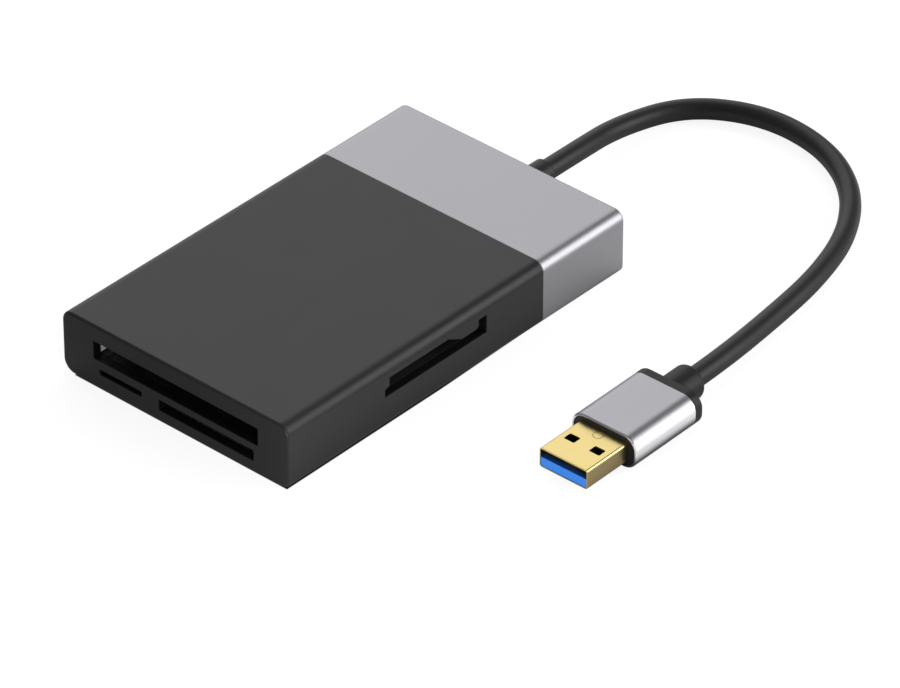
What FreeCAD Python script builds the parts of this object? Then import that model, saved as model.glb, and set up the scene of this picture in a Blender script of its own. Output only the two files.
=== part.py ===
import FreeCAD, Part
import math
import os

from FreeCAD import Vector

# USB hub and card reader: a black moulded housing with a grey metal rear cap, a short cable and its plug.
# Millimetres. The origin is the middle of the body's underside, +Y points at the cable, +Z points up.

# Body
body_width = 60.0
body_length = 98.5
housing_wall = 1.8
front_wall = 2.0
top_edge_radius = 2.5
lower_left_radius = 3.0
lower_right_radius = 1.5
end_edge_round = 0.6
joint_edge_round = 0.15
least_radius = 0.2
headroom = 0.7

# Joint between the housing and the rear cap
housing_share = 0.7513
cap_wall = 1.2
cap_end_wall = 1.6
spigot_length = 7.0
spigot_root = 4.0
spigot_wall = 1.1
fit_clearance = 0.1
snap_width = 12.0
snap_length = 1.6
snap_height = 0.4
snap_setback = 2.5

# Circuit board and what holds it
board_standoff = 3.5
board_thickness = 1.0
board_front_gap = 0.3
board_side_gap = 0.6
board_reach = 5.3
board_corner_radius = 1.0
ledge_overlap = 0.8
hold_down_length = 18.0
hold_down_height = 1.2
weld = 0.2

# Sheet metal and springs of the card sockets
sheet = 0.25
spring_thickness = 0.15
slot_corner_radius = 0.3
mouth_gap = 0.2

# Wide front slot, above the board
wide_slot_x = 0.3
wide_slot_width = 43.8
wide_slot_height = 4.2
wide_guide_gap = 0.1
wide_guide_length = 18.0
wide_guide_lip = 2.0
wide_header_depth = 5.5
wide_header_overhang = 0.6
wide_pin_diameter = 0.44
wide_pin_length = 5.0
wide_pin_pitch = 1.27
wide_pin_columns = 25

# Full size card slot, below the board on the right
card_slot_share = 0.14
card_slot_width = 25.2
card_slot_height = 2.6
card_base = 0.25
card_rail = 0.8
card_depth = 26.0
card_back = 2.0
card_contacts = 9
card_contact_pitch = 2.5
card_contact_width = 1.1
card_contact_length = 9.0

# Small card slot, below the board on the left
micro_slot_share = -0.24
micro_slot_width = 11.4
micro_slot_height = 1.3
micro_base = 0.65
micro_rail = 0.7
micro_depth = 15.0
micro_back = 1.5
micro_contacts = 8
micro_contact_pitch = 1.1
micro_contact_width = 0.6
micro_contact_length = 6.0

# Shaped slot in the right wall, above the board
side_slot_width = 29.6
side_slot_height = 4.15
side_base = 0.65
side_rail = 0.9
side_depth = 26.0
side_back = 2.0
side_gap = 0.65
side_contacts = 10
side_contact_pitch = 2.0
side_contact_width = 1.0
side_contact_length = 12.0
side_step_width = 1.3
side_step_low = 1.75
side_step_high = 2.25
side_tab_drop = 1.95
side_tab_radius = 0.9
side_tab_start = 11.3
side_tab_foot = 7.3
side_tab_end = 2.4

# Hub ports in the left wall, above the board
usb_ports = 2
usb_first = 14.0
usb_pitch = 19.5
usb_shell_width = 13.1
usb_shell_height = 5.7
usb_shell_sheet = 0.3
usb_shell_radius = 0.6
usb_depth = 14.0
usb_block_depth = 4.0
usb_tongue_width = 11.1
usb_tongue_thickness = 1.84
usb_tongue_recess = 1.0
usb_tongue_rise = 0.05
usb_window_gap = 0.25
usb_contact_width = 1.1
usb_contact_length = 7.0
usb_contact_thickness = 0.12
usb_contact_places = (-3.5, -1.0, 1.0, 3.5)

# Chips and small parts on the board
chip_height = 0.85
hub_chip_size = 6.5
hub_chip_back = 22.0
card_chip_size = 6.0
card_chip_back = 7.0
flash_width = 3.9
flash_length = 4.9
flash_height = 1.5
flash_back = 37.0
flash_leads = 4
flash_lead_pitch = 1.27
flash_lead_width = 0.4
flash_lead_reach = 1.0
flash_lead_thickness = 0.2
crystal_width = 2.5
crystal_length = 3.2
crystal_height = 0.7
card_crystal_back = 13.5
hub_crystal_back = 30.0
inductor_size = 4.0
inductor_height = 2.0
inductor_x = 12.0
inductor_from_rear = 10.0
passive_length = 1.0
passive_width = 0.5
passive_height = 0.45
passive_count = 12
passive_pitch = 3.0
passive_back = 3.0
passive_edge_gap = 1.0

# Cable, gland and conductors
cable_diameter = 4.5
cable_bore_gap = 0.05
gland_flange_radius = 4.2
gland_flange_thickness = 1.5
gland_collar_radius = 2.9
gland_collar_length = 10.5
gland_collar_round = 0.5
gland_drop = 0.35
cable_tail = 5.0
wire_diameter = 0.9
wire_ring_radius = 1.35
wires_per_face = 4
wire_pad_pitch = 2.2
wire_pad_length = 3.0
wire_straight = 3.0
wire_board_gap = 2.6

# Plug, lying on the table, turned a little about its tip
plug_x = 68.0
plug_tip_y = -12.85
plug_turn = 0.8
plug_shell_width = 12.0
plug_shell_height = 4.5
plug_shell_sheet = 0.25
plug_shell_radius = 0.6
plug_shell_length = 18.0
plug_shell_exposed = 12.0
plug_window_width = 2.6
plug_window_length = 2.1
plug_window_spread = 3.15
plug_window_from_tip = 6.3
plug_dimple_width = 2.0
plug_dimple_length = 0.9
plug_dimple_depth = 0.12
plug_dimple_from_tip = 11.0
plug_tongue_thickness = 2.05
plug_tongue_recess = 0.1
plug_tongue_block = 5.0
plug_contact_width = 1.0
plug_contact_length = 6.0
plug_contact_thickness = 0.12
plug_contact_recess = 2.6
plug_contact_places = (-3.5, -1.0, 1.0, 3.5)
plug_spring_width = 0.8
plug_spring_length = 1.6
plug_spring_height = 0.5
plug_spring_back = 10.0
plug_spring_places = (-4.0, -2.0, 0.0, 2.0, 4.0)
plug_sleeve_width = 16.3
plug_sleeve_height = 7.6
plug_sleeve_radius = 3.2
plug_sleeve_wall = 0.5
plug_sleeve_length = 18.0
plug_sleeve_chamfer = 0.35
plug_core_recess = 0.1
plug_plate_thickness = 2.1
plug_collar_radius = 3.8
plug_collar_length = 6.6
plug_collar_round = 1.2
plug_tail_depth = 4.0

# Route of the cable, which leaves the gland and the plug straight
arc_share = 0.45
gland_lead = 9.25
plug_lead = 9.0
cable_middle_points = (
    (-1.6, 84.0, 3.6),
    (2.6, 100.8, 2.25),
    (16.9, 108.9, 2.25),
    (33.6, 107.9, 2.25),
    (47.3, 100.0, 2.25),
    (56.9, 87.0, 2.25),
    (62.1, 70.9, 2.25),
    (64.5, 53.4, 2.35),
)

# Places worked out from the sizes above
front_y = -body_length / 2
rear_y = body_length / 2
joint_y = front_y + housing_share * body_length
board_bottom = housing_wall + board_standoff
board_top = board_bottom + board_thickness
body_height = board_top + usb_shell_height + headroom + housing_wall
body_middle = body_height / 2
inner_half_width = body_width / 2 - housing_wall
mouth_x = inner_half_width - mouth_gap
board_half_width = inner_half_width - board_side_gap
board_front = front_y + front_wall + board_front_gap
board_rear = joint_y + board_reach
wide_z = board_top + sheet + wide_slot_height / 2
wide_half_width = wide_slot_width / 2 + wide_guide_gap
wide_top = board_top + wide_slot_height + 2 * sheet
wide_rear = board_front + wide_guide_length + wide_header_depth
card_slot_x = card_slot_share * body_width
card_z = board_bottom - card_base - card_slot_height / 2
micro_slot_x = micro_slot_share * body_width
micro_z = board_bottom - micro_base - micro_slot_height / 2
side_y = wide_rear + side_gap + sheet + side_rail + side_slot_width / 2
side_bottom = board_top + side_base
usb_z = board_top + usb_shell_height / 2
channel_x = (usb_depth - side_depth) / 2
passive_column = mouth_x - (usb_depth + side_depth) / 2 - passive_edge_gap
cable_radius = cable_diameter / 2
exit_z = board_bottom + board_thickness / 2 - gland_drop
gland_inner_y = rear_y - cap_end_wall - gland_flange_thickness
gland_outer_y = rear_y + gland_collar_length
jacket_end_y = gland_inner_y - cable_tail
plug_z = plug_sleeve_height / 2
plug_sleeve_front = plug_tip_y + plug_shell_exposed
plug_sleeve_rear = plug_sleeve_front + plug_sleeve_length
plug_plate_rear = plug_sleeve_rear + plug_plate_thickness
plug_collar_rear = plug_plate_rear + plug_collar_length

tolerance = 1e-6
along_y = Vector(0, 1, 0)
along_z = Vector(0, 0, 1)


def block(x0, x1, y0, y1, z0, z1):
    return Part.makeBox(x1 - x0, y1 - y0, z1 - z0, Vector(x0, y0, z0))


def rod(radius, x, z, y0, y1):
    return Part.makeCylinder(radius, y1 - y0, Vector(x, y0, z), along_y)


def corner(centre_x, centre_z, radius, y, start):
    ends = []
    for share in (0.0, 0.5, 1.0):
        angle = start + share * math.pi / 2
        ends.append(Vector(centre_x + radius * math.cos(angle), y, centre_z + radius * math.sin(angle)))
    return ends


def section_bar(width, height, radii, x, z, y0, y1):
    # Rounded rectangle across X and Z, drawn out along Y, its corners from the top right to the lower right
    corners = []
    for turn, (side, level) in enumerate(((1, 1), (-1, 1), (-1, -1), (1, -1))):
        radius = max(radii[turn], least_radius)
        centre_x = x + side * (width / 2 - radius)
        centre_z = z + level * (height / 2 - radius)
        corners.append(corner(centre_x, centre_z, radius, y0, turn * math.pi / 2))
    edges = []
    for turn, (start, middle, end) in enumerate(corners):
        edges.append(Part.Arc(start, middle, end).toShape())
        next_start = corners[(turn + 1) % len(corners)][0]
        if end.distanceToPoint(next_start) > tolerance:
            edges.append(Part.LineSegment(end, next_start).toShape())
    return Part.Face(Part.Wire(edges)).extrude(Vector(0, y1 - y0, 0))


def bar(width, height, radius, x, z, y0, y1):
    return section_bar(width, height, (radius, radius, radius, radius), x, z, y0, y1)


def edges_at(shape, y):
    found = []
    for edge in shape.Edges:
        bounds = edge.BoundBox
        if abs(bounds.YMin - y) < tolerance and abs(bounds.YMax - y) < tolerance:
            found.append(edge)
    return found


def body_bar(inset, y0, y1):
    # The body's cross-section, drawn in by the inset on every side
    width = body_width - 2 * inset
    height = body_height - 2 * inset
    outer = (top_edge_radius, top_edge_radius, lower_left_radius, lower_right_radius)
    radii = [radius - inset for radius in outer]
    return section_bar(width, height, radii, 0, body_middle, y0, y1)


def place(shape, x, y, z, axis, degrees):
    moved = shape.copy()
    moved.Placement = FreeCAD.Placement(Vector(x, y, z), FreeCAD.Rotation(axis, degrees))
    return moved


def save(name, shape):
    shape.exportStep("parts/" + name + ".step")


def cord_path(points):
    # Straight runs joined by tangent arcs, each as large as its two runs allow
    edges = []
    radii = []
    length = 0.0
    last = points[0]
    for before, here, after in zip(points, points[1:], points[2:]):
        back = before - here
        ahead = after - here
        run = min(back.Length, ahead.Length)
        back.normalize()
        ahead.normalize()
        half_turn = (math.pi - back.getAngle(ahead)) / 2
        trim = arc_share * run
        radius = trim / math.tan(half_turn)
        bisector = back + ahead
        bisector.normalize()
        sagitta = radius / math.cos(half_turn) - radius
        start = here + back * trim
        end = here + ahead * trim
        edges.append(Part.LineSegment(last, start).toShape())
        edges.append(Part.Arc(start, here + bisector * sagitta, end).toShape())
        length += last.distanceToPoint(start) + 2 * half_turn * radius
        radii.append(radius)
        last = end
    edges.append(Part.LineSegment(last, points[-1]).toShape())
    length += last.distanceToPoint(points[-1])
    return Part.Wire(edges), radii, length


def tube(points, diameter):
    path, radii, length = cord_path(points)
    section = Part.Wire([Part.makeCircle(diameter / 2, points[0], points[1] - points[0])])
    return path.makePipeShell([section], True, False), radii, length


def card_socket(width, height, base, rail, depth, back, count, pitch, contact_width, contact_length):
    # Mouth at y = 0, board at z = 0: plastic tray, folded cover and a row of springs
    half = width / 2 + rail
    top = base + height
    tray = block(-half, half, 0, depth, 0, top)
    tray = tray.cut(block(-width / 2, width / 2, 0, depth - back, base, top))
    cover = block(-half - sheet, half + sheet, 0, depth, 0, top + sheet)
    cover = cover.cut(block(-half, half, 0, depth, 0, top))
    springs = []
    for number in range(count):
        x = (number - (count - 1) / 2) * pitch
        start = depth - back - contact_length
        springs.append(block(x - contact_width / 2, x + contact_width / 2, start, depth - back,
                             base, base + spring_thickness))
    return tray, cover, Part.makeCompound(springs)


def save_socket(name, pieces, x, y, z, axis, degrees):
    for ending, piece in zip(("_base", "_cover", "_contacts"), pieces):
        save(name + ending, place(piece, x, y, z, axis, degrees))


def side_slot_cutter():
    # Outline of the shaped slot in the right wall, front end first
    y0 = side_y - side_slot_width / 2
    y1 = y0 + side_slot_width
    z0 = side_bottom
    z1 = z0 + side_slot_height
    x = inner_half_width - weld
    tab_z = z1 - side_tab_drop
    tab_end = y1 - side_tab_end
    bend = side_tab_radius * math.sqrt(0.5)
    arc_start = Vector(x, tab_end, tab_z + side_tab_radius)
    arc_middle = Vector(x, tab_end - side_tab_radius + bend, tab_z + side_tab_radius - bend)
    arc_end = Vector(x, tab_end - side_tab_radius, tab_z)
    first = [Vector(x, y0, z0 + side_step_low), Vector(x, y0, z0), Vector(x, y1, z0), Vector(x, y1, z1),
             Vector(x, tab_end, z1), arc_start]
    last = [arc_end, Vector(x, y1 - side_tab_foot, tab_z), Vector(x, y1 - side_tab_start, z1),
            Vector(x, y0 + side_step_width, z1), Vector(x, y0 + side_step_width, z0 + side_step_high),
            first[0]]
    edges = []
    for start, end in zip(first, first[1:]):
        edges.append(Part.LineSegment(start, end).toShape())
    edges.append(Part.Arc(arc_start, arc_middle, arc_end).toShape())
    for start, end in zip(last, last[1:]):
        edges.append(Part.LineSegment(start, end).toShape())
    return Part.Face(Part.Wire(edges)).extrude(Vector(housing_wall + 2 * weld, 0, 0))


def usb_port_y(number):
    return wide_rear + usb_first + number * usb_pitch


def make_front_housing():
    shell = body_bar(0, front_y, joint_y)
    shell = shell.makeFillet(end_edge_round, edges_at(shell, front_y))
    shell = shell.makeFillet(joint_edge_round, edges_at(shell, joint_y))
    shell = shell.cut(body_bar(housing_wall, front_y + front_wall, joint_y))

    # Spigot that the cap slides over, open at both sides for the board and its sockets
    spigot_inset = cap_wall + fit_clearance
    spigot_end = joint_y + spigot_length
    spigot = body_bar(spigot_inset, joint_y - spigot_root, spigot_end)
    spigot = spigot.cut(body_bar(spigot_inset + spigot_wall, joint_y - spigot_root, spigot_end))
    spigot_ceiling = body_height - spigot_inset - spigot_wall
    spigot = spigot.cut(block(-body_width / 2, body_width / 2, joint_y - spigot_root, spigot_end,
                              board_bottom - fit_clearance, spigot_ceiling))
    shell = shell.fuse(spigot)

    # Snap ridges on the spigot, above and below
    snap_end = spigot_end - snap_setback
    for side, surface in ((1, body_height - spigot_inset), (-1, spigot_inset)):
        heights = sorted((surface - side * weld, surface + side * snap_height))
        shell = shell.fuse(block(-snap_width / 2, snap_width / 2, snap_end - snap_length, snap_end, *heights))

    # Ledges under the board and ribs over its front corners
    for side in (-1, 1):
        reach = sorted((side * (board_half_width - ledge_overlap), side * (inner_half_width + weld)))
        shell = shell.fuse(block(*reach, front_y + front_wall - weld, joint_y,
                                 housing_wall - weld, board_bottom))
        rib_bottom = board_top + fit_clearance
        shell = shell.fuse(block(*reach, front_y + front_wall - weld, front_y + front_wall + hold_down_length,
                                 rib_bottom, rib_bottom + hold_down_height))

    # Card slots through the front and right walls, port windows through the left wall
    slots = ((wide_slot_width, wide_slot_height, wide_slot_x, wide_z),
             (card_slot_width, card_slot_height, card_slot_x, card_z),
             (micro_slot_width, micro_slot_height, micro_slot_x, micro_z))
    for width, height, x, z in slots:
        shell = shell.cut(bar(width, height, slot_corner_radius, x, z, front_y - weld, front_y + front_wall))
    shell = shell.cut(side_slot_cutter())
    window = bar(usb_shell_width + 2 * usb_window_gap, usb_shell_height + 2 * usb_window_gap,
                 usb_shell_radius + usb_window_gap, 0, 0, 0, housing_wall + weld)
    for number in range(usb_ports):
        shell = shell.cut(place(window, -inner_half_width, usb_port_y(number), usb_z, along_z, 90))
    return shell.removeSplitter()


def make_rear_cap():
    cap = body_bar(0, joint_y, rear_y)
    cap = cap.makeFillet(end_edge_round, edges_at(cap, rear_y))
    cap = cap.makeFillet(joint_edge_round, edges_at(cap, joint_y))
    cap = cap.cut(body_bar(cap_wall, joint_y, rear_y - cap_end_wall))
    hole_radius = gland_collar_radius + fit_clearance
    cap = cap.cut(rod(hole_radius, 0, exit_z, rear_y - cap_end_wall, rear_y))
    snap_end = joint_y + spigot_length - snap_setback
    for side, surface in ((1, body_height - cap_wall), (-1, cap_wall)):
        heights = sorted((surface - side * weld, surface + side * snap_height))
        cap = cap.cut(block(-snap_width / 2 - fit_clearance, snap_width / 2 + fit_clearance,
                            snap_end - snap_length - fit_clearance, snap_end + fit_clearance, *heights))
    return cap


def make_board():
    board = block(-board_half_width, board_half_width, board_front, board_rear, board_bottom, board_top)
    upright = []
    for edge in board.Edges:
        if edge.BoundBox.ZLength > board_thickness / 2:
            upright.append(edge)
    return board.makeFillet(board_corner_radius, upright)


def make_wide_guide(side):
    outer = (side * (wide_half_width + sheet), side * (wide_half_width - wide_guide_lip))
    inner = (side * wide_half_width, side * (wide_half_width - wide_guide_lip))
    outer = sorted(wide_slot_x + reach for reach in outer)
    inner = sorted(wide_slot_x + reach for reach in inner)
    guide_end = board_front + wide_guide_length
    guide = block(*outer, board_front, guide_end, board_top, wide_top)
    return guide.cut(block(*inner, board_front, guide_end, board_top + sheet, wide_top - sheet))


def make_wide_header():
    half = wide_half_width + sheet + wide_header_overhang
    return block(wide_slot_x - half, wide_slot_x + half, board_front + wide_guide_length, wide_rear,
                 board_top, wide_top)


def make_wide_pins():
    pins = []
    end = board_front + wide_guide_length
    for column in range(wide_pin_columns):
        x = wide_slot_x + (column - (wide_pin_columns - 1) / 2) * wide_pin_pitch
        for row in (-0.5, 0.5):
            pins.append(rod(wide_pin_diameter / 2, x, wide_z + row * wide_pin_pitch,
                            end - wide_pin_length, end))
    return Part.makeCompound(pins)


def make_usb_port():
    # Mouth at y = 0, board at z = 0: shell, insulator and contacts
    middle = usb_shell_height / 2
    inner_width = usb_shell_width - 2 * usb_shell_sheet
    inner_height = usb_shell_height - 2 * usb_shell_sheet
    inner_radius = usb_shell_radius - usb_shell_sheet
    shell = bar(usb_shell_width, usb_shell_height, usb_shell_radius, 0, middle, 0, usb_depth)
    shell = shell.cut(bar(inner_width, inner_height, inner_radius, 0, middle, 0, usb_depth))
    block_start = usb_depth - usb_block_depth
    tongue_bottom = middle + usb_tongue_rise
    tongue = bar(inner_width, inner_height, inner_radius, 0, middle, block_start, usb_depth)
    tongue = tongue.fuse(block(-usb_tongue_width / 2, usb_tongue_width / 2, usb_tongue_recess,
                               block_start + weld, tongue_bottom, tongue_bottom + usb_tongue_thickness))
    contacts = []
    for x in usb_contact_places:
        contacts.append(block(x - usb_contact_width / 2, x + usb_contact_width / 2,
                              block_start - usb_contact_length, block_start,
                              tongue_bottom - usb_contact_thickness, tongue_bottom))
    return shell, tongue.removeSplitter(), Part.makeCompound(contacts)


def chip(x, y, size_x, size_y, height):
    return block(x - size_x / 2, x + size_x / 2, y - size_y / 2, y + size_y / 2,
                 board_top, board_top + height)


def make_flash():
    y = wide_rear + flash_back
    memory = chip(channel_x, y, flash_width, flash_length, flash_height)
    for number in range(flash_leads):
        lead_y = y + (number - (flash_leads - 1) / 2) * flash_lead_pitch
        leads = chip(channel_x, lead_y, flash_width + 2 * flash_lead_reach, flash_lead_width,
                     flash_lead_thickness)
        memory = memory.fuse(leads)
    return memory.removeSplitter()


def make_passives(side):
    parts = []
    for number in range(passive_count):
        y = wide_rear + passive_back + number * passive_pitch
        parts.append(chip(channel_x + side * passive_column, y, passive_width, passive_length,
                          passive_height))
    return Part.makeCompound(parts)


def make_gland():
    gland = rod(gland_flange_radius, 0, exit_z, gland_inner_y, rear_y - cap_end_wall)
    collar = rod(gland_collar_radius, 0, exit_z, gland_inner_y, gland_outer_y)
    collar = collar.makeFillet(gland_collar_round, edges_at(collar, gland_outer_y))
    gland = gland.fuse(collar)
    bore = rod(cable_radius + cable_bore_gap, 0, exit_z, gland_inner_y, gland_outer_y)
    return gland.cut(bore).removeSplitter()


def make_wires():
    wires = []
    radius = wire_diameter / 2
    for side, pad_z in ((1, board_top + radius), (-1, board_bottom - radius)):
        for number in range(wires_per_face):
            angle = side * (number + 0.5) * math.pi / wires_per_face
            x = wire_ring_radius * math.cos(angle)
            z = exit_z + wire_ring_radius * math.sin(angle)
            pad_x = ((wires_per_face - 1) / 2 - number) * wire_pad_pitch
            points = [Vector(x, jacket_end_y, z), Vector(x, jacket_end_y - wire_straight, z),
                      Vector(pad_x, board_rear + wire_board_gap, pad_z),
                      Vector(pad_x, board_rear - wire_pad_length, pad_z)]
            wires.append(tube(points, wire_diameter)[0])
    return Part.makeCompound(wires)


def on_plug_axis(y):
    angle = math.radians(plug_turn)
    back = y - plug_tip_y
    return Vector(plug_x - back * math.sin(angle), plug_tip_y + back * math.cos(angle), plug_z)


def make_cable():
    points = [Vector(0, gland_outer_y, exit_z), Vector(0, gland_outer_y + gland_lead, exit_z)]
    for place_on_route in cable_middle_points:
        points.append(Vector(*place_on_route))
    points.append(on_plug_axis(plug_collar_rear + plug_lead))
    points.append(on_plug_axis(plug_collar_rear))
    solid, radii, length = tube(points, cable_diameter)
    wanted = math.pi * cable_radius ** 2 * length
    print("cable length", round(length, 1))
    print("cable volume over section times length", round(solid.Volume / wanted, 5))
    print("cable arc radii", [round(radius, 1) for radius in radii])
    return solid


def make_plug_shell():
    inner_width = plug_shell_width - 2 * plug_shell_sheet
    inner_height = plug_shell_height - 2 * plug_shell_sheet
    end = plug_tip_y + plug_shell_length
    shell = bar(plug_shell_width, plug_shell_height, plug_shell_radius, plug_x, plug_z, plug_tip_y, end)
    shell = shell.cut(bar(inner_width, inner_height, plug_shell_radius - plug_shell_sheet,
                          plug_x, plug_z, plug_tip_y, end))
    window_y = plug_tip_y + plug_window_from_tip
    for side in (-1, 1):
        x = plug_x + side * plug_window_spread
        shell = shell.cut(block(x - plug_window_width / 2, x + plug_window_width / 2,
                                window_y - plug_window_length / 2, window_y + plug_window_length / 2,
                                plug_z - plug_shell_height, plug_z + plug_shell_height))
    dimple_y = plug_tip_y + plug_dimple_from_tip
    top = plug_z + plug_shell_height / 2
    return shell.cut(block(plug_x - plug_dimple_width / 2, plug_x + plug_dimple_width / 2,
                           dimple_y - plug_dimple_length / 2, dimple_y + plug_dimple_length / 2,
                           top - plug_dimple_depth, top + weld))


def make_plug_tongue():
    inner_width = plug_shell_width - 2 * plug_shell_sheet
    inner_height = plug_shell_height - 2 * plug_shell_sheet
    inner_radius = plug_shell_radius - plug_shell_sheet
    end = plug_tip_y + plug_shell_length
    tongue = bar(inner_width, inner_height, inner_radius, plug_x, plug_z,
                 plug_tip_y + plug_tongue_recess, end)
    top = plug_z - inner_height / 2 + plug_tongue_thickness
    return tongue.cut(block(plug_x - inner_width / 2, plug_x + inner_width / 2, plug_tip_y,
                            end - plug_tongue_block, top, plug_z + inner_height / 2))


def make_plug_contacts():
    floor = plug_z - plug_shell_height / 2 + plug_shell_sheet + plug_tongue_thickness
    contacts = []
    for x in plug_contact_places:
        start = plug_tip_y + plug_contact_recess
        contacts.append(block(plug_x + x - plug_contact_width / 2, plug_x + x + plug_contact_width / 2,
                              start, start + plug_contact_length, floor, floor + plug_contact_thickness))
    for x in plug_spring_places:
        start = plug_tip_y + plug_spring_back
        contacts.append(block(plug_x + x - plug_spring_width / 2, plug_x + x + plug_spring_width / 2,
                              start, start + plug_spring_length, floor, floor + plug_spring_height))
    return Part.makeCompound(contacts)


def make_plug_core():
    core = bar(plug_sleeve_width - 2 * plug_sleeve_wall, plug_sleeve_height - 2 * plug_sleeve_wall,
               plug_sleeve_radius - plug_sleeve_wall, plug_x, plug_z,
               plug_sleeve_front + plug_core_recess, plug_sleeve_rear)
    core = core.cut(bar(plug_shell_width, plug_shell_height, plug_shell_radius, plug_x, plug_z,
                        plug_tip_y, plug_tip_y + plug_shell_length))
    return core.cut(rod(cable_radius + cable_bore_gap, plug_x, plug_z,
                        plug_sleeve_rear - plug_tail_depth, plug_sleeve_rear))


def make_plug_sleeve():
    sleeve = bar(plug_sleeve_width, plug_sleeve_height, plug_sleeve_radius, plug_x, plug_z,
                 plug_sleeve_front, plug_sleeve_rear)
    sleeve = sleeve.makeChamfer(plug_sleeve_chamfer, edges_at(sleeve, plug_sleeve_front))
    return sleeve.cut(bar(plug_sleeve_width - 2 * plug_sleeve_wall, plug_sleeve_height - 2 * plug_sleeve_wall,
                          plug_sleeve_radius - plug_sleeve_wall, plug_x, plug_z,
                          plug_sleeve_front, plug_sleeve_rear))


def make_plug_strain_relief():
    relief = bar(plug_sleeve_width, plug_sleeve_height, plug_sleeve_radius, plug_x, plug_z,
                 plug_sleeve_rear, plug_plate_rear)
    collar = rod(plug_collar_radius, plug_x, plug_z, plug_sleeve_rear, plug_collar_rear)
    collar = collar.makeFillet(plug_collar_round, edges_at(collar, plug_collar_rear))
    relief = relief.fuse(collar)
    return relief.cut(rod(cable_radius + cable_bore_gap, plug_x, plug_z,
                          plug_sleeve_rear, plug_collar_rear)).removeSplitter()


def save_on_plug(name, shape):
    turned = shape.copy()
    turned.rotate(Vector(plug_x, plug_tip_y, 0), along_z, plug_turn)
    save(name, turned)


os.makedirs("parts", exist_ok=True)

# Case
save("front_housing", make_front_housing())
save("rear_cap", make_rear_cap())
save("main_board", make_board())

# Wide slot
save("wide_guide_left", make_wide_guide(-1))
save("wide_guide_right", make_wide_guide(1))
save("wide_header", make_wide_header())
save("wide_pins", make_wide_pins())

# Other card sockets: two hang below the board, one stands on it
card_pieces = card_socket(card_slot_width, card_slot_height, card_base, card_rail, card_depth, card_back,
                          card_contacts, card_contact_pitch, card_contact_width, card_contact_length)
save_socket("card", card_pieces, card_slot_x, board_front, board_bottom, along_y, 180)
micro_pieces = card_socket(micro_slot_width, micro_slot_height, micro_base, micro_rail, micro_depth, micro_back,
                           micro_contacts, micro_contact_pitch, micro_contact_width, micro_contact_length)
save_socket("micro", micro_pieces, micro_slot_x, board_front, board_bottom, along_y, 180)
side_pieces = card_socket(side_slot_width, side_slot_height, side_base, side_rail, side_depth, side_back,
                          side_contacts, side_contact_pitch, side_contact_width, side_contact_length)
save_socket("side", side_pieces, mouth_x, side_y, board_top, along_z, 90)

# Hub ports
usb_pieces = make_usb_port()
for port in range(usb_ports):
    for ending, piece in zip(("_shell", "_tongue", "_contacts"), usb_pieces):
        turned = place(piece, -mouth_x, usb_port_y(port), board_top, along_z, -90)
        save("usb_port_" + str(port + 1) + ending, turned)

# Chips and small parts
save("hub_controller", chip(channel_x, wide_rear + hub_chip_back, hub_chip_size, hub_chip_size, chip_height))
save("card_controller", chip(channel_x, wide_rear + card_chip_back, card_chip_size, card_chip_size,
                             chip_height))
save("flash_memory", make_flash())
save("card_crystal", chip(channel_x, wide_rear + card_crystal_back, crystal_length, crystal_width,
                          crystal_height))
save("hub_crystal", chip(channel_x, wide_rear + hub_crystal_back, crystal_length, crystal_width,
                         crystal_height))
save("power_inductor", chip(inductor_x, board_rear - inductor_from_rear, inductor_size, inductor_size,
                            inductor_height))
save("chip_capacitors", make_passives(-1))
save("chip_resistors", make_passives(1))

# Cable
save("cable_gland", make_gland())
save("cable_inner", rod(cable_radius, 0, exit_z, jacket_end_y, gland_outer_y))
save("cable_wires", make_wires())
save("cable", make_cable())

# Plug
save_on_plug("plug_shell", make_plug_shell())
save_on_plug("plug_tongue", make_plug_tongue())
save_on_plug("plug_contacts", make_plug_contacts())
save_on_plug("plug_core", make_plug_core())
save_on_plug("plug_sleeve", make_plug_sleeve())
save_on_plug("plug_strain_relief", make_plug_strain_relief())
save_on_plug("plug_cable_tail", rod(cable_radius, plug_x, plug_z,
                                    plug_sleeve_rear - plug_tail_depth, plug_collar_rear))

print("body", body_width, body_length, body_height)
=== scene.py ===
import math

import bmesh
import bpy
from mathutils import Matrix, Vector


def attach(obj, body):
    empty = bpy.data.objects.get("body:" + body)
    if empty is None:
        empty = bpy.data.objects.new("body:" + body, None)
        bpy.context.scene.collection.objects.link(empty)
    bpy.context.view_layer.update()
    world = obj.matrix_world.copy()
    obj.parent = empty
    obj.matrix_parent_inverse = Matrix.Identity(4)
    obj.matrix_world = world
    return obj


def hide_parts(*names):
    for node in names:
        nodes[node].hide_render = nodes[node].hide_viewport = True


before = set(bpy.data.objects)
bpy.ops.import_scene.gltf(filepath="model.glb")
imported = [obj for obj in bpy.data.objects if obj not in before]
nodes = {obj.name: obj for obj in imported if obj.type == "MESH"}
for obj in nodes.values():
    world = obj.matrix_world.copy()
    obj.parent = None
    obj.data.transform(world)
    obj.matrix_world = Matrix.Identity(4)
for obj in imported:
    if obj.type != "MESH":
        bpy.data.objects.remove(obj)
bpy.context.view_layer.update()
mm = 0.001
print("frame loaded,", len(nodes), "nodes")


# camera, fitted to the photograph's edges
shot = {
    "place": (0.78071, -0.84320, 0.80855), "back": (0.5435, -0.6084, 0.5783),
    "lens": 284.16, "sensor": 36.0, "clip": (0.01, 60.0),
}


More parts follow.
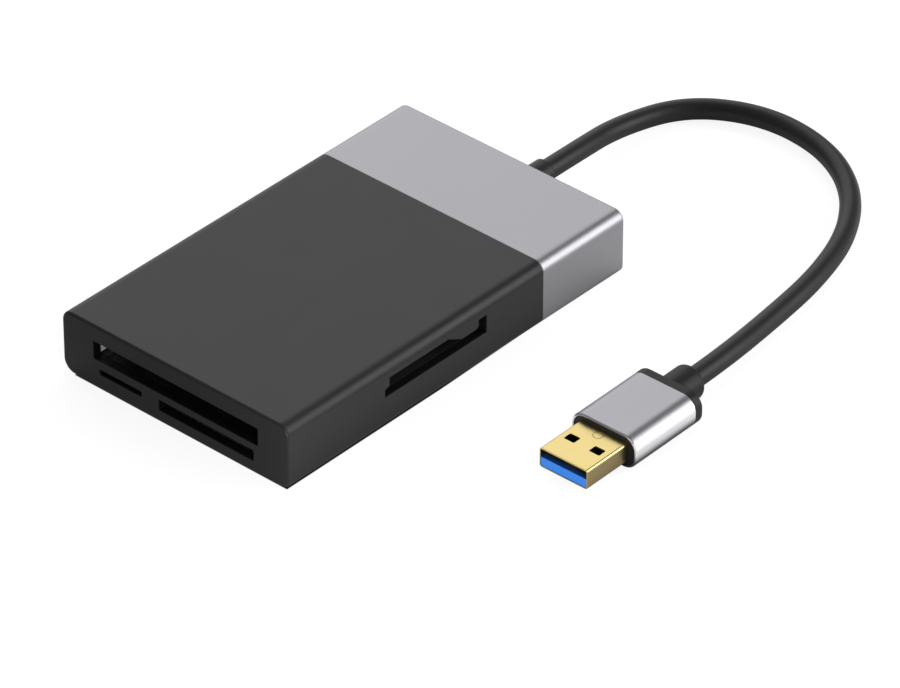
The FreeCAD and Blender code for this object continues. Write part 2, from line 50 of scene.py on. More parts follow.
def makeCamera():
    lensData = bpy.data.cameras.new("camera")
    lensData.lens = shot["lens"]
    lensData.sensor_width = shot["sensor"]
    lensData.sensor_fit = "HORIZONTAL"
    lensData.clip_start, lensData.clip_end = shot["clip"]
    camera = bpy.data.objects.new("camera", lensData)
    bpy.context.scene.collection.objects.link(camera)
    camera.location = shot["place"]
    camera.rotation_euler = (-Vector(shot["back"])).to_track_quat("-Z", "Y").to_euler()
    bpy.context.scene.camera = camera
    print("camera ready")


makeCamera()


# shader maths: a wrapped socket, where + - * < > add Math nodes
class Shade:
    def __init__(self, tree, socket):
        self.tree = tree
        self.socket = socket

    def node(self, kind, settings, sockets, out=0):
        made = self.tree.nodes.new(kind)
        for key, value in settings.items():
            if key == "stops":
                ramp = made.color_ramp.elements
                while len(ramp) < len(value):
                    ramp.new(1.0)
                for element, (position, colour) in zip(ramp, value):
                    element.position = position
                    element.color = colour
            elif key == "interpolation":
                made.color_ramp.interpolation = value
            else:
                setattr(made, key, value)
        for key, value in sockets.items():
            if isinstance(value, Shade):
                self.tree.links.new(value.socket, made.inputs[key])
            else:
                made.inputs[key].default_value = value
        return Shade(self.tree, made.outputs[out])

    def maths(self, operation, first, second):
        return self.node("ShaderNodeMath", {"operation": operation}, {0: first, 1: second})

    def __add__(self, other):
        return self.maths("ADD", self, other)

    def __radd__(self, other):
        return self.maths("ADD", other, self)

    def __sub__(self, other):
        return self.maths("SUBTRACT", self, other)

    def __rsub__(self, other):
        return self.maths("SUBTRACT", other, self)

    def __mul__(self, other):
        return self.maths("MULTIPLY", self, other)

    def __rmul__(self, other):
        return self.maths("MULTIPLY", other, self)

    def __gt__(self, other):
        return self.maths("GREATER_THAN", self, other)

    def __lt__(self, other):
        return self.maths("LESS_THAN", self, other)


def rgba(colour):
    return (colour[0], colour[1], colour[2], 1.0)


def newFinish(name):
    finish = bpy.data.materials.new(name)
    finish.use_nodes = True
    tree = finish.node_tree
    shader = tree.nodes["Principled BSDF"]
    place = Shade(tree, tree.nodes.new("ShaderNodeTexCoord").outputs["Object"])
    return finish, shader, place


def feed(shader, **sockets):
    tree = shader.id_data
    for key, value in sockets.items():
        target = shader.inputs[key.replace("_", " ")]
        if isinstance(value, Shade):
            tree.links.new(value.socket, target)
        else:
            target.default_value = value


def along(place, axis):
    return place.node("ShaderNodeSeparateXYZ", {}, {"Vector": place}, axis)


def vectors(operation, first, *second):
    out = 1 if operation == "LENGTH" else 0
    return first.node("ShaderNodeVectorMath", {"operation": operation}, dict(enumerate((first, *second))), out)


def speckle(place, noise):  # noise is scale, detail, roughness
    scale, detail, rough = noise
    return place.node("ShaderNodeTexNoise", {},
                      {"Vector": place, "Scale": scale, "Detail": detail, "Roughness": rough})


def streaks(place, look):  # noise drawn out along one axis
    drawn = place.node("ShaderNodeMapping", {}, {"Vector": place, "Scale": look["stretch"]})
    return speckle(drawn, look["lines"])


def blend(place, factor, first, second):
    sockets = {0: factor}
    for key, colour in ((6, first), (7, second)):
        sockets[key] = colour if isinstance(colour, Shade) else rgba(colour)
    return place.node("ShaderNodeMix", {"data_type": "RGBA"}, sockets, 2)


def fade(value, start, end):
    return value.node("ShaderNodeMapRange", {"interpolation_type": "SMOOTHSTEP"},
                      {"Value": value, "From Min": start, "From Max": end})


def mingle(shares, first, second):
    return first * shares[0] + second * shares[1]


def uneven(levels, *noises):  # a level, then the share of each noise on top of it
    total = levels[0]
    for share, noise in zip(levels[1:], noises):
        total = total + noise * share
    return total


def dents(place, height, bump):  # bump is strength, distance
    return place.node("ShaderNodeBump", {}, {"Strength": bump[0], "Distance": bump[1], "Height": height})


# black soft-touch coat outside, and painted shade making the walls nearly black from a little way inside each
# slot
shellLook = {
    "dark": (0.0170, 0.0170, 0.0173), "light": (0.0225, 0.0225, 0.0229), "insideShade": (0.006, 0.006, 0.006),
    "grain": (4200, 3.0, 0.6), "cloud": (90, 4.0, 0.55), "mix": (0.6, 0.4),
    "roughness": (0.36, 0.08, 0.06), "gloss": 0.23, "bump": (0.12, 0.00003),
    "middle": (0, 0, 0.00725), "flat": (0.027, 1.0, 0.00425), "shadeReach": 0.0027, "shadeFront": -0.04895,
}


def shellFinish():
    look = shellLook
    finish, shader, place = newFinish("shellBlack")
    grain = speckle(place, look["grain"])
    cloud = speckle(place, look["cloud"])
    # distance from the body's straight core tells the outer skin from the inside, where the painted shade goes
    offset = vectors("ABSOLUTE", vectors("SUBTRACT", place, look["middle"]))
    offset = vectors("MAXIMUM", vectors("SUBTRACT", offset, look["flat"]), (0, 0, 0))
    inside = (vectors("LENGTH", offset) < look["shadeReach"]) * (along(place, 1) > look["shadeFront"])
    coat = blend(place, mingle(look["mix"], grain, cloud), look["dark"], look["light"])
    feed(shader, Base_Color=blend(place, inside, coat, look["insideShade"]),
         Roughness=uneven(look["roughness"], grain, cloud), Specular_IOR_Level=look["gloss"],
         Normal=dents(place, grain, look["bump"]))
    return finish


# grey anodised metal: bead blasted, so an even fine speckle with no brushing direction
capLook = {
    "dark": (0.278, 0.277, 0.293), "light": (0.314, 0.313, 0.330),
    "grain": (5200, 2.0, 0.7), "cloud": (60, 3.0, 0.5), "mix": (0.7, 0.3),
    "roughness": (0.40, 0.06, 0.03), "bump": (0.1, 0.00002),
}


def capFinish():
    look = capLook
    finish, shader, place = newFinish("capGrey")
    grain = speckle(place, look["grain"])
    cloud = speckle(place, look["cloud"])
    feed(shader, Base_Color=blend(place, mingle(look["mix"], grain, cloud), look["dark"], look["light"]),
         Metallic=1.0, Roughness=uneven(look["roughness"], grain, cloud),
         Normal=dents(place, grain, look["bump"]))
    return finish


# plug sleeve: the same metal, with a painted highlight making its flanks bright and painted shade making its
# underside dark
sleeveLook = {
    "paintedFlank": (0.82, 0.82, 0.835), "under": (0.10, 0.10, 0.105),
    "underTop": (0.0018, 0.0032), "foot": (0.0024, 0.0042), "shoulder": (0.0067, 0.0058),  # heights
    "cloud": (240, 3.0, 0.5), "roughness": (0.36, 0.06, 0.03),
}


def sleeveFinish():
    look = sleeveLook
    finish, shader, place = newFinish("sleeveGrey")
    grain = speckle(place, capLook["grain"])
    cloud = speckle(place, look["cloud"])
    height = along(place, 2)
    blasted = blend(place, mingle(capLook["mix"], grain, cloud), capLook["dark"], capLook["light"])
    # painted shade: below underTop the sleeve is coloured dark
    ground = blend(place, fade(height, *look["underTop"]), look["under"], blasted)
    # painted highlight: between the foot and the shoulder the flanks are coloured bright as if lit
    highlightMask = fade(height, *look["foot"]) * fade(height, *look["shoulder"])
    feed(shader, Base_Color=blend(place, highlightMask, ground, look["paintedFlank"]), Metallic=1.0,
         Roughness=uneven(look["roughness"], grain, cloud), Normal=dents(place, grain, capLook["bump"]))
    return finish


# dark solder mask with faint raised tracks
boardLook = {
    "mask": (0.006, 0.010, 0.009), "track": (0.016, 0.026, 0.022),
    "pitch": 520, "wander": 1.6, "laneDetail": 1.0, "laneEdge": 0.55,
    "areas": (180, 1.0, 0.5), "areaEdge": 0.52, "weave": (3000, 2.0, 0.5), "weaveHeight": 0.2,
    "roughness": (0.34, 0.14), "bump": (0.3, 0.00003),
}


def boardFinish():
    look = boardLook
    finish, shader, place = newFinish("boardMask")
    lanes = place.node("ShaderNodeTexWave", {"bands_direction": "DIAGONAL"},
                       {"Vector": place, "Scale": look["pitch"], "Distortion": look["wander"],
                        "Detail": look["laneDetail"]})
    tracks = (lanes > look["laneEdge"]) * (speckle(place, look["areas"]) > look["areaEdge"])
    weave = speckle(place, look["weave"])
    feed(shader, Base_Color=blend(place, tracks, look["mask"], look["track"]),
         Roughness=uneven(look["roughness"], weave),
         Normal=dents(place, tracks + weave * look["weaveHeight"], look["bump"]))
    return finish


# stamped steel of the sockets: rolling lines along its length
steelLook = {
    "dark": (0.50, 0.50, 0.49), "light": (0.66, 0.66, 0.65),
    "stretch": (900, 60, 2600), "lines": (1.0, 3.0, 0.6), "stain": (260, 3.0, 0.6), "mix": (0.5, 0.5),
    "roughness": (0.3, 0.12), "bump": (0.12, 0.00002),
}


def steelFinish():
    look = steelLook
    finish, shader, place = newFinish("socketSteel")
    lines = streaks(place, look)
    stain = speckle(place, look["stain"])
    feed(shader, Base_Color=blend(place, mingle(look["mix"], lines, stain), look["dark"], look["light"]),
         Metallic=1.0, Roughness=uneven(look["roughness"], lines), Normal=dents(place, lines, look["bump"]))
    return finish


# guides of the wide slot: light tin above, partly the tin's colour and partly painted light to show a lit
# patch, and painted shade, nearly black, below
guideLook = {
    "dark": (0.90, 0.90, 0.89), "light": (0.97, 0.97, 0.96), "guideShade": (0.02, 0.02, 0.02),
    "shadeLine": 0.0070, "ragged": 0.0002, "bloom": (700, 4.0, 0.6),
    "roughness": (0.5, 0.15), "bump": (0.15, 0.00003),
}


def guideFinish():
    look = guideLook
    finish, shader, place = newFinish("guideTin")
    bloom = speckle(place, look["bloom"])
    tin = blend(place, bloom, look["dark"], look["light"])
    # painted shade below this height, with a ragged edge
    upper = (along(place, 2) + bloom * look["ragged"]) > look["shadeLine"]
    feed(shader, Base_Color=blend(place, upper, look["guideShade"], tin),
         Roughness=uneven(look["roughness"], bloom), Normal=dents(place, bloom, look["bump"]))
    return finish


# plain mouldings: socket trays, plug insides, port tongues and chips share a recipe
mouldLook = {
    "socketBlack": {"dark": (0.011, 0.011, 0.011), "light": (0.016, 0.016, 0.016),
                    "grain": 2600, "roughness": 0.5, "gloss": 0.3},
    "plugBlack": {"dark": (0.012, 0.012, 0.012), "light": (0.017, 0.017, 0.017),
                  "grain": 3000, "roughness": 0.40, "gloss": 0.2},
    "tongueBlue": {"dark": (0.024, 0.22, 0.90), "light": (0.032, 0.25, 0.97),
                   "grain": 2200, "roughness": 0.32, "gloss": 0.5},
    "chipBlack": {"dark": (0.012, 0.012, 0.013), "light": (0.022, 0.022, 0.023),
                  "grain": 5000, "roughness": 0.55, "gloss": 0.3},
}
mouldRecipe = {
    "grain": (3.0, 0.6), "flow": (2.0, 0.5), "flowScale": 0.06, "mix": (0.5, 0.5),
    "roughness": (0.1, 0.05), "bump": (0.15, 0.00002),
}


def mouldFinish(name):
    look = mouldLook[name]
    recipe = mouldRecipe
    finish, shader, place = newFinish(name)
    grain = speckle(place, (look["grain"], *recipe["grain"]))
    flow = speckle(place, (look["grain"] * recipe["flowScale"], *recipe["flow"]))
    feed(shader, Base_Color=blend(place, mingle(recipe["mix"], grain, flow), look["dark"], look["light"]),
         Roughness=uneven((look["roughness"], *recipe["roughness"]), grain, flow),
         Specular_IOR_Level=look["gloss"], Normal=dents(place, grain, recipe["bump"]))
    return finish


# plug tongue: blue moulding, with painted shade on its upper side: deep blue at the front and dark behind
tongueLook = {
    "dark": (0.030, 0.25, 0.92), "light": (0.040, 0.28, 0.98),
    "topShade": (0.005, 0.09, 0.42), "behind": (0.004, 0.006, 0.008),
    "top": (0.00379, 0.00383), "deep": (-0.0123, -0.0109),  # height, and distance along the plug
    "grain": (2200, 3.0, 0.6), "roughness": (0.32, 0.12), "gloss": 0.5, "bump": (0.15, 0.00002),
}


def tongueFinish():
    look = tongueLook
    finish, shader, place = newFinish("plugTongueBlue")
    grain = speckle(place, look["grain"])
    moulded = blend(place, grain, look["dark"], look["light"])
    # painted shade: the upper side darkens further back inside the shell
    covered = blend(place, fade(along(place, 1), *look["deep"]), look["topShade"], look["behind"])
    upper = fade(along(place, 2), *look["top"])
    feed(shader, Base_Color=blend(place, upper, moulded, covered),
         Roughness=uneven(look["roughness"], grain), Specular_IOR_Level=look["gloss"],
         Normal=dents(place, grain, look["bump"]))
    return finish


# fired ceramic of the small parts on the board
ceramicLook = {
    "body": (0.30, 0.20, 0.12), "pale": (0.42, 0.30, 0.19), "fired": (1800, 3.0, 0.6),
    "roughness": (0.45, 0.1), "bump": (0.2, 0.00002),
}


def ceramicFinish():
    look = ceramicLook
    finish, shader, place = newFinish("chipCeramic")
    fired = speckle(place, look["fired"])
    feed(shader, Base_Color=blend(place, fired, look["body"], look["pale"]),
         Roughness=uneven(look["roughness"], fired), Normal=dents(place, fired, look["bump"]))
    return finish


# gold plating: thin, warm, with a faint drawn texture, and painted shade making the plug's two flanks darker
goldLook = {
    "dark": (0.475, 0.375, 0.148), "light": (0.545, 0.438, 0.188), "flankShade": (0.34, 0.262, 0.122),
    "middle": 0.068, "paintedFlank": (0.0056, 0.0059),
    "stretch": (2600, 120, 2600), "lines": (1.0, 2.0, 0.5), "tarnish": (220, 3.0, 0.5), "mix": (0.4, 0.6),
    "roughness": (0.25, 0.06, 0.05), "bump": (0.06, 0.00002),
}


def goldFinish():
    look = goldLook
    finish, shader, place = newFinish("goldPlate")
    lines = streaks(place, look)
    tarnish = speckle(place, look["tarnish"])
    plate = blend(place, mingle(look["mix"], lines, tarnish), look["dark"], look["light"])
    # painted shade: the two flanks are coloured darker
    paintedFlank = fade(place.maths("ABSOLUTE", along(place, 0) - look["middle"], 0.0), *look["paintedFlank"])
    feed(shader, Base_Color=blend(place, paintedFlank, plate, look["flankShade"]), Metallic=1.0,
         Roughness=uneven(look["roughness"], lines, tarnish), Normal=dents(place, lines, look["bump"]))
    return finish


# cable jacket: satin rubber, finely mottled
jacketLook = {
    "dark": (0.0125, 0.0125, 0.0125), "light": (0.019, 0.019, 0.019),
    "grain": (2400, 4.0, 0.6), "bloom": (160, 3.0, 0.5), "mix": (0.4, 0.6),
    "roughness": (0.38, 0.1, 0.05), "gloss": 0.24, "bump": (0.12, 0.00003),
}


def jacketFinish():
    look = jacketLook
    finish, shader, place = newFinish("jacketRubber")
    grain = speckle(place, look["grain"])
    bloom = speckle(place, look["bloom"])
    feed(shader, Base_Color=blend(place, mingle(look["mix"], grain, bloom), look["dark"], look["light"]),
         Roughness=uneven(look["roughness"], bloom, grain), Specular_IOR_Level=look["gloss"],
         Normal=dents(place, grain, look["bump"]))
    return finish


# conductors: one colour for each place across the bundle
wireLook = {
    "colours": [(0.0, (0.30, 0.02, 0.02)), (0.3, (0.75, 0.75, 0.72)),
                (0.5, (0.03, 0.22, 0.05)), (0.7, (0.02, 0.02, 0.02))],
    "spread": 110, "middle": 0.5, "skin": (3000, 2.0, 0.5), "roughness": (0.4, 0.12), "bump": (0.1, 0.00002),
}


def wireFinish():
    look = wireLook
    finish, shader, place = newFinish("wireInsulation")
    stops = [(position, rgba(colour)) for position, colour in look["colours"]]
    colour = place.node("ShaderNodeValToRGB", {"interpolation": "CONSTANT", "stops": stops},
                        {"Fac": along(place, 0) * look["spread"] + look["middle"]})
    skin = speckle(place, look["skin"])
    feed(shader, Base_Color=colour, Roughness=uneven(look["roughness"], skin),
         Normal=dents(place, skin, look["bump"]))
    return finish


finishes = {
    "shell": shellFinish(), "cap": capFinish(), "sleeve": sleeveFinish(), "board": boardFinish(),
    "steel": steelFinish(), "guide": guideFinish(), "socket": mouldFinish("socketBlack"),
    "plug": mouldFinish("plugBlack"), "blue": mouldFinish("tongueBlue"), "tongue": tongueFinish(),
    "chip": mouldFinish("chipBlack"), "ceramic": ceramicFinish(), "gold": goldFinish(),
    "jacket": jacketFinish(), "wire": wireFinish(),
}
nodeFinish = {
    "shell": ["front_housing"],
    "cap": ["rear_cap"],
    "sleeve": ["plug_sleeve"],
    "board": ["main_board"],
    "steel": ["card_cover", "micro_cover", "side_cover", "usb_port_1_shell", "usb_port_2_shell",
              "hub_crystal", "card_crystal"],
    "guide": ["wide_guide_left", "wide_guide_right"],
    "socket": ["wide_header", "card_base", "micro_base", "side_base"],
    "plug": ["plug_core", "plug_strain_relief"],
    "tongue": ["plug_tongue"],
    "blue": ["usb_port_1_tongue", "usb_port_2_tongue"],
    "chip": ["hub_controller", "card_controller", "flash_memory", "power_inductor"],
    "ceramic": ["chip_capacitors", "chip_resistors"],
    "gold": ["plug_shell", "plug_contacts", "wide_pins", "card_contacts", "micro_contacts", "side_contacts",
             "usb_port_1_contacts", "usb_port_2_contacts"],
    "jacket": ["cable_gland", "cable_inner", "plug_cable_tail", "cable"],
    "wire": ["cable_wires"],
}
for finishName, members in nodeFinish.items():
    for member in members:
        for materialSlot in nodes[member].material_slots:
            materialSlot.material = finishes[finishName]
print("finishes on", sum(len(members) for members in nodeFinish.values()), "nodes")


# cable: one smooth line over the route's points
cableRoute = {
    "points": [(0, 59.75, 5.45), (0, 69.0, 5.45), (-1.6, 84.0, 3.6), (2.6, 100.8, 2.25), (16.9, 108.9, 2.25),
               (33.6, 107.9, 2.25), (47.3, 100.0, 2.25), (56.9, 87.0, 2.25), (62.1, 70.9, 2.25),
               (64.5, 53.4, 2.35), (67.33, 34.85, 3.8), (67.46, 25.85, 3.8)],
    "diameter": 4.5, "length": 167.3, "steps": 24, "roundness": 8,
}


def makeCable():
    line = bpy.data.curves.new("cableCord", "CURVE")
    line.dimensions = "3D"
    spline = line.splines.new("NURBS")
    spline.points.add(len(cableRoute["points"]) - 1)
    for point, (x, y, z) in zip(spline.points, cableRoute["points"]):
        point.co = (x * mm, y * mm, z * mm, 1.0)
    spline.order_u = 3
    spline.use_endpoint_u = True
    spline.resolution_u = cableRoute["steps"]
    line.bevel_depth = cableRoute["diameter"] / 2 * mm
    line.bevel_resolution = cableRoute["roundness"]
    line.use_fill_caps = True
    cable = bpy.data.objects.new("cableCord", line)
    bpy.context.scene.collection.objects.link(cable)
    line.materials.append(finishes["jacket"])
    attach(cable, "root")
    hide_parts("cable")
    return cable


cable = makeCable()


# modelling helpers, sizes in millimetres
near = 0.001  # closer than this counts as the same place
smoothAngle = 32


def metres(values):
    return [value * mm for value in values]


def clearSelection():
    if bpy.context.object and bpy.context.object.mode != "OBJECT":
        bpy.ops.object.mode_set(mode="OBJECT")
    bpy.ops.object.select_all(action="DESELECT")


def takeUp(piece):
    clearSelection()
    piece.select_set(True)
    bpy.context.view_layer.objects.active = piece


def addBlock(name, size, place):
    clearSelection()
    bpy.ops.mesh.primitive_cube_add(size=1.0, location=metres(place))
    block = bpy.context.object
    block.name = name
    block.scale = metres(size)
    bpy.ops.object.transform_apply(location=True, rotation=True, scale=True)
    return block


def addRod(name, radius, length, place, sides=64):
    clearSelection()
    bpy.ops.mesh.primitive_cylinder_add(vertices=sides, radius=radius * mm, depth=length * mm,
                                        location=metres(place), rotation=(math.pi / 2, 0, 0))
    rod = bpy.context.object
    rod.name = name
    bpy.ops.object.transform_apply(location=True, rotation=True, scale=True)
    return rod


def startPick(piece, kind):
    takeUp(piece)
    bpy.ops.object.mode_set(mode="EDIT")
    bpy.ops.mesh.select_mode(type=kind)
    bpy.ops.mesh.select_all(action="DESELECT")
    return bmesh.from_edit_mesh(piece.data)


def pickEdges(piece, test):
    for edge in startPick(piece, "EDGE").edges:
        edge.select_set(test(edge.verts[0].co / mm, edge.verts[1].co / mm))
    bmesh.update_edit_mesh(piece.data)


def pickFaces(piece, test):
    for face in startPick(piece, "FACE").faces:
        face.select_set(test(face.normal, face.calc_center_median() / mm))
    bmesh.update_edit_mesh(piece.data)


def roundEdges(piece, test, bend):  # bend is radius, segments
    pickEdges(piece, test)
    bpy.ops.mesh.bevel(offset=bend[0] * mm, segments=bend[1], affect="EDGES")


def modify(piece, kind, **settings):
    takeUp(piece)
    modifier = piece.modifiers.new(kind.lower(), kind)
    for key, value in settings.items():
        setattr(modifier, key, value)
    bpy.ops.object.modifier_apply(modifier=modifier.name)


def combine(piece, tool, operation):
    modify(piece, "BOOLEAN", operation=operation, solver="EXACT", object=tool)
    bpy.data.objects.remove(tool)


def alongY(a, b):
    return abs(a.x - b.x) < near and abs(a.z - b.z) < near


def alongZ(a, b):
    return abs(a.x - b.x) < near and abs(a.y - b.y) < near


def ringAt(level):  # edges that lie in one plane across Y
    return lambda a, b: abs(a.y - level) < near and abs(b.y - level) < near


def settle(piece, finishName, slotName, *replaced):
    takeUp(piece)
    bpy.ops.object.shade_smooth_by_angle(angle=math.radians(smoothAngle))
    modify(piece, "WEIGHTED_NORMAL", keep_sharp=True)
    piece.data.materials.clear()
    piece.data.materials.append(finishes[finishName])
    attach(piece, "root")
    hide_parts(*replaced)
    print(piece.name, len(piece.data.polygons), "faces")


# the plug lies a little askew, turned about the middle of its tip
plugAxis = {"x": 68.0, "tip": -12.85, "z": 3.8, "turn": 0.8}


def turnWithPlug(piece):
    takeUp(piece)
    bpy.ops.transform.rotate(value=-math.radians(plugAxis["turn"]), orient_axis="Z",
                             center_override=metres((plugAxis["x"], plugAxis["tip"], 0)))
    bpy.ops.object.transform_apply(location=True, rotation=True, scale=True)


def onPlug(side, back, up=0.0):
    return (plugAxis["x"] + side, plugAxis["tip"] + back, plugAxis["z"] + up)


# gold shell: folded sheet with two windows and a pressed ring
plugShellLook = {
    "size": (12.0, 18.0, 4.5), "round": (0.6, 6), "sheet": 0.25, "lip": (0.09, 3),
    "windows": {"size": (2.6, 2.1), "spread": 3.15, "back": 6.3, "round": (0.3, 4)},
    "ring": {"back": 10.3, "radius": 1.05, "groove": 0.1, "segments": (48, 10)},
    "seam": {"width": 0.12, "deep": 1.0},
}


def makePlugShell():
    look = plugShellLook
    width, length, height = look["size"]
    shell = addBlock("plugShell", look["size"], onPlug(0, length / 2))
    roundEdges(shell, alongY, look["round"])
    pickFaces(shell, lambda normal, middle: abs(normal.y) > 0.9)
    bpy.ops.mesh.delete(type="FACE")
    modify(shell, "SOLIDIFY", thickness=look["sheet"] * mm, offset=-1.0, use_even_offset=True)
    # the mouth's outer rim, told from the inner one by its distance from the straight core
    bend = look["round"][0]
    core = (width / 2 - bend, height / 2 - bend)

    def outerRim(a, b):
        for v in (a, b):
            sideways = max(abs(v.x - plugAxis["x"]) - core[0], 0)
            upward = max(abs(v.z - plugAxis["z"]) - core[1], 0)
            if math.hypot(sideways, upward) < bend - look["sheet"] / 2:
                return False
        return ringAt(plugAxis["tip"])(a, b)

    roundEdges(shell, outerRim, look["lip"])
    window = look["windows"]
    for side in (-1, 1):
        place = onPlug(side * window["spread"], window["back"])
        tool = addBlock("windowTool", (*window["size"], height * 2), place)
        roundEdges(tool, alongZ, window["round"])
        combine(shell, tool, "DIFFERENCE")
    # a thin torus sunk into the top presses the ring
    press = look["ring"]
    clearSelection()
    bpy.ops.mesh.primitive_torus_add(major_segments=press["segments"][0], minor_segments=press["segments"][1],
                                     major_radius=press["radius"] * mm, minor_radius=press["groove"] * mm,
                                     location=metres(onPlug(0, press["back"], height / 2)))
    bpy.ops.object.transform_apply(location=True)
    combine(shell, bpy.context.object, "DIFFERENCE")
    seam = look["seam"]
    tool = addBlock("seamTool", (seam["width"], length * 2, seam["deep"]),
                    onPlug(0, length / 2, -height / 2))
    combine(shell, tool, "DIFFERENCE")
    turnWithPlug(shell)
    settle(shell, "gold", "gold", "plug_shell")
    return shell


# blue insulator: a tongue along the floor of the shell and a block behind it
plugTongueLook = {
    "width": 11.5, "front": 0.1, "back": 18.0, "floor": -2.0, "thick": 2.05,
    "blockBack": 13.0, "blockHigh": 1.95, "round": (0.35, 4), "edge": (0.12, 3),
}


def makePlugTongue():
    look = plugTongueLook
    length = look["back"] - look["front"]
    tongue = addBlock("plugTongue", (look["width"], length, look["thick"]),
                      onPlug(0, look["front"] + length / 2, look["floor"] + look["thick"] / 2))
    bpy.ops.object.mode_set(mode="EDIT")
    bpy.ops.mesh.select_all(action="SELECT")
    bpy.ops.mesh.bisect(plane_co=metres(onPlug(0, look["blockBack"])), plane_no=(0, 1, 0))
    step = plugAxis["tip"] + look["blockBack"]
    pickFaces(tongue, lambda normal, middle: normal.z > 0.9 and middle.y > step)
    bpy.ops.mesh.extrude_region_move(TRANSFORM_OT_translate={"value": (0, 0, look["blockHigh"] * mm)})
    low = plugAxis["z"] + look["floor"]
    high = low + look["thick"] + look["blockHigh"]
    roundEdges(tongue, lambda a, b: alongY(a, b) and (abs(a.z - low) < near or abs(a.z - high) < near),
               look["round"])
    roundEdges(tongue, ringAt(plugAxis["tip"] + look["front"]), look["edge"])
    turnWithPlug(tongue)
    settle(tongue, "tongue", "blue_plastic", "plug_tongue")
    return tongue


# grey sleeve: a drawn tube with a turned front lip
plugSleeveLook = {
    "size": (16.3, 18.0, 7.6), "front": 12.0, "round": (3.2, 16), "wall": 0.5,
    "frontLip": (0.3, 4), "rearLip": (0.12, 2),
}


def makePlugSleeve():
    look = plugSleeveLook
    length = look["size"][1]
    sleeve = addBlock("plugSleeve", look["size"], onPlug(0, look["front"] + length / 2))
    roundEdges(sleeve, alongY, look["round"])
    front = plugAxis["tip"] + look["front"]
    roundEdges(sleeve, ringAt(front), look["frontLip"])
    roundEdges(sleeve, ringAt(front + length), look["rearLip"])
    # both ends are drawn in to the wall's inner face, then opened into one bore
    pickFaces(sleeve, lambda normal, middle: abs(normal.y) > 0.99)
    bpy.ops.mesh.inset(thickness=(look["wall"] - look["frontLip"][0]) * mm, use_even_offset=True)
    bpy.ops.mesh.bridge_edge_loops()
    turnWithPlug(sleeve)
    settle(sleeve, "sleeve", "grey_metal", "plug_sleeve")
    return sleeve


# black rear plate with its collar
plugReliefLook = {
    "plate": (16.3, 2.1, 7.6), "front": 30.0, "round": (3.2, 16), "edge": (0.3, 3),
    "collar": 3.78, "collarLong": 6.6, "collarRound": (1.25, 7), "bore": 2.3, "boreLong": 40,
}


def makePlugRelief():
    look = plugReliefLook
    thick = look["plate"][1]
    middle = look["front"] + thick / 2
    relief = addBlock("plugRelief", look["plate"], onPlug(0, middle))
    roundEdges(relief, alongY, look["round"])
    plateRear = plugAxis["tip"] + look["front"] + thick
    roundEdges(relief, ringAt(plateRear), look["edge"])
    long = look["collarLong"] + thick / 2
    collar = addRod("collarTool", look["collar"], long, onPlug(0, middle + long / 2))
    roundEdges(collar, ringAt(plateRear + look["collarLong"]), look["collarRound"])
    combine(relief, collar, "UNION")
    combine(relief, addRod("boreTool", look["bore"], look["boreLong"], onPlug(0, look["front"])), "DIFFERENCE")
    turnWithPlug(relief)
    settle(relief, "plug", "plug_plastic", "plug_strain_relief")
    return relief


plugPieces = [makePlugShell(), makePlugTongue(), makePlugSleeve(), makePlugRelief()]
plugPieces = plugPieces + [nodes[name] for name in ("plug_contacts", "plug_core", "plug_cable_tail")]
print("cable laid")


# floor, lamps and surroundings
studio = {
    "floorSize": 40.0, "floorDrop": 0.00005, "sky": 0.27,
    "floorBounce": 0.14, "floorShown": 0.26, "floorGlow": 0.875, "floorShadow": 0.02,
    "foot": {"middle": 1.3, "half": (28.3, 49.2), "soft": 0.15, "taper": 0.021, "taperFrom": -5},
    "shade": {"reach": 0.026, "power": 1.4, "samples": 16, "front": 0.5, "frontLine": (-60, -48)},
    "lamps": [
        {"name": "rearPanel", "toward": (-0.72, 0.47, 0.52), "along": (0.47, 0.72, 0), "aim": (0, 0, 10),
         "distance": 1.0, "size": (0.95, 0.95), "watts": 4.6},
        {"name": "topPanel", "toward": (-0.235, 0.608, 0.758), "along": (1, 0, 0.16), "aim": (0, 0, 10),
         "distance": 1.0, "size": (0.2, 0.5), "watts": 0.51},
        {"name": "lowStrip", "toward": (0.676, 0.656, 0.345), "along": (0.36, 0, -0.65), "aim": (40, 20, 8),
         "distance": 0.9, "size": (0.66, 0.26), "watts": 5.0},
        {"name": "rightBox", "toward": (0.9, 0.05, 0.42), "along": (0, 1, 0), "aim": (30, 0, 8),
         "distance": 0.9, "size": (0.7, 0.5), "watts": 0.6},
        {"name": "frontPanel", "toward": (-0.5, -0.6, 0.62), "along": (0.77, -0.64, 0), "aim": (0, 0, 10),
         "distance": 1.0, "size": (0.7, 0.7), "watts": 0.45},
        {"name": "tipCard", "toward": (0.1, -0.97, 0.16), "along": (1, 0, 0), "aim": (68, -13, 3),
         "distance": 0.07, "size": (0.05, 0.02), "watts": 0.032},
    ],
}


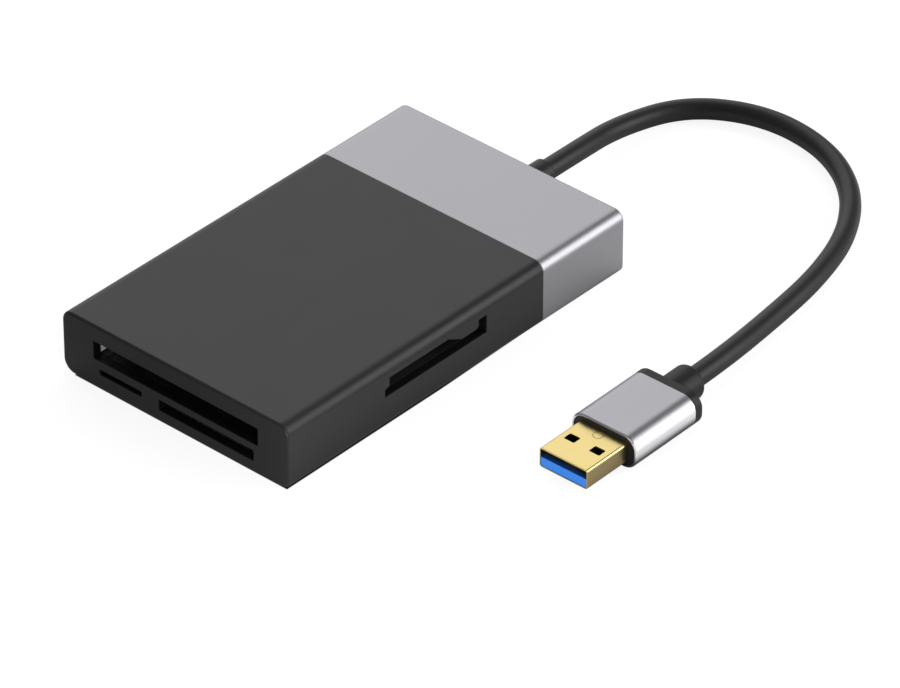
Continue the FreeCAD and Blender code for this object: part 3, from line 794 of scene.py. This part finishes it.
def makeFloor():
    clearSelection()
    bpy.ops.mesh.primitive_plane_add(size=studio["floorSize"], location=(0, 0, -studio["floorDrop"]))
    bpy.ops.object.transform_apply(location=True)
    floor = bpy.context.object
    floor.name = "floor"
    finish = bpy.data.materials.new("floorPale")
    finish.use_nodes = True
    tree = finish.node_tree
    tree.nodes.clear()
    place = Shade(tree, tree.nodes.new("ShaderNodeTexCoord").outputs["Object"])
    path = tree.nodes.new("ShaderNodeLightPath")
    direct = Shade(tree, path.outputs["Is Camera Ray"])
    mirrored = Shade(tree, path.outputs["Is Glossy Ray"]) + Shade(tree, path.outputs["Is Transmission Ray"])
    bounce, paper, dark = (place.node("ShaderNodeBsdfDiffuse", {}, {"Color": rgba([studio[name]] * 3)})
                           for name in ("floorBounce", "floorShown", "floorShadow"))
    glow = place.node("ShaderNodeEmission", {}, {"Color": rgba((1, 1, 1)), "Strength": studio["floorGlow"]})
    pale = place.node("ShaderNodeAddShader", {}, {0: paper, 1: glow})
    # painted shadow: the floor is dark under the body's rounded lower edges
    foot = studio["foot"]
    across = along(place, 0)
    back = along(place, 1)
    narrowing = place.maths("MAXIMUM", back - foot["taperFrom"] * mm, 0.0) * foot["taper"]
    reaches = (place.maths("ABSOLUTE", across - foot["middle"] * mm, 0.0) + narrowing,
               place.maths("ABSOLUTE", back, 0.0))
    away = [fade(reach, (half - foot["soft"]) * mm, (half + foot["soft"]) * mm)
            for reach, half in zip(reaches, foot["half"])]
    clear = place.maths("MAXIMUM", *away)
    # metal mirrors a softer shade round everything on the floor, and a painted shade on the floor ahead of the
    # body, seen only in reflections
    shade = studio["shade"]
    openness = place.node("ShaderNodeAmbientOcclusion", {"samples": shade["samples"]},
                          {"Distance": shade["reach"]}, 1)
    ahead = fade(back, shade["frontLine"][1] * mm, shade["frontLine"][0] * mm)
    openness = place.maths("POWER", openness, shade["power"]) * (1 - ahead * (1 - shade["front"]))
    lit = direct * clear + (1 - direct) * openness
    shown = place.node("ShaderNodeMixShader", {}, {0: lit, 1: dark, 2: pale})
    both = place.node("ShaderNodeMixShader", {}, {0: direct + mirrored, 1: bounce, 2: shown})
    sheet = tree.nodes.new("ShaderNodeOutputMaterial")
    tree.links.new(both.socket, sheet.inputs["Surface"])
    floor.data.materials.append(finish)


def makeSky():
    world = bpy.data.worlds.new("sky")
    bpy.context.scene.world = world
    world.use_nodes = True
    background = world.node_tree.nodes["Background"]
    background.inputs["Color"].default_value = rgba((1, 1, 1))
    background.inputs["Strength"].default_value = studio["sky"]


def makeLamp(look):
    lampData = bpy.data.lights.new(look["name"], "AREA")
    lampData.shape = "RECTANGLE"
    lampData.size, lampData.size_y = look["size"]
    lampData.energy = look["watts"]
    lamp = bpy.data.objects.new(look["name"], lampData)
    bpy.context.scene.collection.objects.link(lamp)
    toward = Vector(look["toward"]).normalized()
    lamp.location = Vector(look["aim"]) * mm + toward * look["distance"]
    lamp.visible_camera = False
    # lamps shine along their own -Z, with size along X and size_y along Y
    upward = toward.cross(Vector(look["along"])).normalized()
    lamp.rotation_euler = Matrix((upward.cross(toward), upward, toward)).transposed().to_euler()


makeFloor()
makeSky()
for lampLook in studio["lamps"]:
    makeLamp(lampLook)
bpy.context.scene.view_settings.view_transform = "Standard"
print("studio ready")
